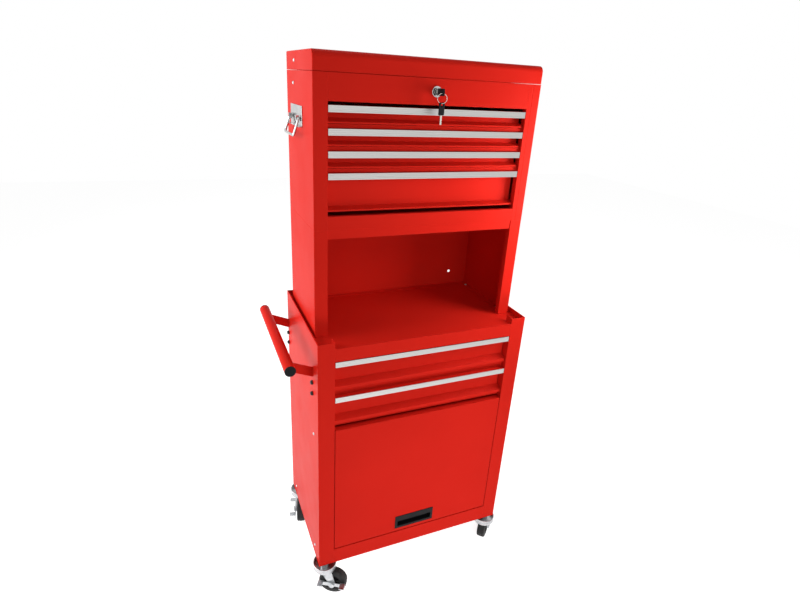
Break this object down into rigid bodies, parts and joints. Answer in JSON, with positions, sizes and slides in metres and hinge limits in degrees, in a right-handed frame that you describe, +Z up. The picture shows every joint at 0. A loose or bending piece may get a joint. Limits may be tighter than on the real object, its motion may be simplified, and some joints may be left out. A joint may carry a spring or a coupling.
{
  "type": "rolling tool cabinet",
  "caption": "Red steel tool cabinet on swivel casters: drawers and a lift-up door below, an open riser, and a lidded chest of drawers on top, with a push handle on the left side.",
  "frame": {"origin": "on the floor, under the middle of the lower cabinet", "axes": "+Z up along the cabinet's height, which is its longest extent; -Y to the front with the drawers; the depth along Y is the shortest extent; +X to the right as seen from the front"},
  "size_m": [0.6492, 0.3961, 1.3566],
  "materials": {
    "red_enamel": "satin",
    "strip_aluminium": "brushed",
    "zinc_steel": "zinc plated",
    "bright_chrome": "polished",
    "dark_screws": "black oxide",
    "black_plastic": "fine grain",
    "black_tyre": "matt",
    "key_steel": "nickel plated"
  },
  "bodies": {
    "cabinet": {"lower_side_left": "red_enamel", "lower_side_right": "red_enamel", "lower_back": "red_enamel", "lower_base_pan": "red_enamel", "lower_top_tray": "red_enamel", "lower_divider": "red_enamel", "lower_slide_rails": "zinc_steel", "frame_screws": "dark_screws", "handle_brackets": "red_enamel", "handle_tube": "red_enamel", "handle_caps": "black_plastic", "riser_shell": "red_enamel", "riser_top": "red_enamel", "chest_shell": "red_enamel", "chest_floor": "red_enamel", "chest_front_panel": "red_enamel", "chest_upper_tray": "red_enamel", "chest_slide_rails": "zinc_steel", "lid_hinge_fixed_leaf": "zinc_steel", "bail_plates": "bright_chrome", "lock_barrel": "bright_chrome", "lock_nut": "zinc_steel", "caster_stems": "zinc_steel", "door_hinge_pins": "zinc_steel"},
    "chest_drawer_1_body": {"chest_drawer_1": "red_enamel", "chest_drawer_1_pull": "strip_aluminium"},
    "chest_drawer_2_body": {"chest_drawer_2": "red_enamel", "chest_drawer_2_pull": "strip_aluminium"},
    "chest_drawer_3_body": {"chest_drawer_3": "red_enamel", "chest_drawer_3_pull": "strip_aluminium"},
    "chest_drawer_4_body": {"chest_drawer_4": "red_enamel", "chest_drawer_4_pull": "strip_aluminium"},
    "base_drawer_1_body": {"base_drawer_1": "red_enamel", "base_drawer_1_front": "red_enamel", "base_drawer_1_pull": "strip_aluminium"},
    "base_drawer_2_body": {"base_drawer_2": "red_enamel", "base_drawer_2_front": "red_enamel", "base_drawer_2_pull": "strip_aluminium"},
    "lid_body": {"lid": "red_enamel", "lid_rivets": "dark_screws", "lid_hinge_moving_leaf": "zinc_steel"},
    "door_body": {"door": "red_enamel", "door_pull": "black_plastic"},
    "bail_left_body": {"bail_left": "bright_chrome"},
    "bail_right_body": {"bail_right": "bright_chrome"},
    "lock_body": {"lock_plug": "bright_chrome", "lock_cam": "zinc_steel", "key_bow": "black_plastic", "key_blade": "key_steel"},
    "swivel_front_left": {"caster_fork_front_left": "zinc_steel"},
    "wheel_front_left": {"caster_wheel_front_left": "black_tyre"},
    "brake_front_left": {"caster_brake_front_left": "zinc_steel"},
    "swivel_front_right": {"caster_fork_front_right": "zinc_steel"},
    "wheel_front_right": {"caster_wheel_front_right": "black_tyre"},
    "swivel_rear_left": {"caster_fork_rear_left": "zinc_steel"},
    "wheel_rear_left": {"caster_wheel_rear_left": "black_tyre"},
    "brake_rear_left": {"caster_brake_rear_left": "zinc_steel"},
    "swivel_rear_right": {"caster_fork_rear_right": "zinc_steel"},
    "wheel_rear_right": {"caster_wheel_rear_right": "black_tyre"}
  },
  "joints": [
    {"name": "chest_drawer_1_slide", "type": "slide", "parent": "cabinet", "child": "chest_drawer_1_body", "axis": [0, -1, 0], "range_m": [0, 0.15]},
    {"name": "chest_drawer_2_slide", "type": "slide", "parent": "cabinet", "child": "chest_drawer_2_body", "axis": [0, -1, 0], "range_m": [0, 0.15]},
    {"name": "chest_drawer_3_slide", "type": "slide", "parent": "cabinet", "child": "chest_drawer_3_body", "axis": [0, -1, 0], "range_m": [0, 0.15]},
    {"name": "chest_drawer_4_slide", "type": "slide", "parent": "cabinet", "child": "chest_drawer_4_body", "axis": [0, -1, 0], "range_m": [0, 0.15]},
    {"name": "base_drawer_1_slide", "type": "slide", "parent": "cabinet", "child": "base_drawer_1_body", "axis": [0, -1, 0], "range_m": [0, 0.21]},
    {"name": "base_drawer_2_slide", "type": "slide", "parent": "cabinet", "child": "base_drawer_2_body", "axis": [0, -1, 0], "range_m": [0, 0.21]},
    {"name": "lid_hinge", "type": "hinge", "parent": "cabinet", "child": "lid_body", "pos_m": [0, 0.14225, 1.3189], "axis": [-1, 0, 0], "range_deg": [0, 95]},
    {"name": "door_hinge", "type": "hinge", "parent": "cabinet", "child": "door_body", "pos_m": [0, -0.157, 0.53], "axis": [-1, 0, 0], "range_deg": [0, 90]},
    {"name": "bail_left_hinge", "type": "hinge", "parent": "cabinet", "child": "bail_left_body", "pos_m": [-0.266, 0.04, 1.226], "axis": [0, 1, 0], "range_deg": [0, 71]},
    {"name": "bail_right_hinge", "type": "hinge", "parent": "cabinet", "child": "bail_right_body", "pos_m": [0.266, 0.04, 1.226], "axis": [0, -1, 0], "range_deg": [0, 71]},
    {"name": "lock_turn", "type": "hinge", "parent": "cabinet", "child": "lock_body", "pos_m": [0.0015, -0.101, 1.293], "axis": [0, 1, 0], "range_deg": [0, 90]},
    {"name": "front_left_swivel", "type": "hinge", "parent": "cabinet", "child": "swivel_front_left", "pos_m": [-0.25, -0.146, 0.084], "axis": [0, 0, 1], "continuous": true},
    {"name": "front_left_wheel_spin", "type": "hinge", "parent": "swivel_front_left", "child": "wheel_front_left", "pos_m": [-0.22922, -0.158, 0.038], "axis": [0.5, 0.866, 0], "continuous": true},
    {"name": "front_left_brake_rock", "type": "hinge", "parent": "swivel_front_left", "child": "brake_front_left", "pos_m": [-0.22922, -0.158, 0.038], "axis": [0.5, 0.866, 0], "range_deg": [-12, 12]},
    {"name": "front_right_swivel", "type": "hinge", "parent": "cabinet", "child": "swivel_front_right", "pos_m": [0.25, -0.146, 0.084], "axis": [0, 0, 1], "continuous": true},
    {"name": "front_right_wheel_spin", "type": "hinge", "parent": "swivel_front_right", "child": "wheel_front_right", "pos_m": [0.26726, -0.12933, 0.038], "axis": [-0.6947, 0.7193, 0], "continuous": true},
    {"name": "rear_left_swivel", "type": "hinge", "parent": "cabinet", "child": "swivel_rear_left", "pos_m": [-0.25, 0.146, 0.084], "axis": [0, 0, 1], "continuous": true},
    {"name": "rear_left_wheel_spin", "type": "hinge", "parent": "swivel_rear_left", "child": "wheel_rear_left", "pos_m": [-0.25581, 0.12271, 0.038], "axis": [0.9703, -0.2419, 0], "continuous": true},
    {"name": "rear_left_brake_rock", "type": "hinge", "parent": "swivel_rear_left", "child": "brake_rear_left", "pos_m": [-0.25581, 0.12271, 0.038], "axis": [0.9703, -0.2419, 0], "range_deg": [-12, 12]},
    {"name": "rear_right_swivel", "type": "hinge", "parent": "cabinet", "child": "swivel_rear_right", "pos_m": [0.25, 0.146, 0.084], "axis": [0, 0, 1], "continuous": true},
    {"name": "rear_right_wheel_spin", "type": "hinge", "parent": "swivel_rear_right", "child": "wheel_rear_right", "pos_m": [0.26966, 0.15977, 0.038], "axis": [-0.5736, 0.8192, 0], "continuous": true}
  ]
}
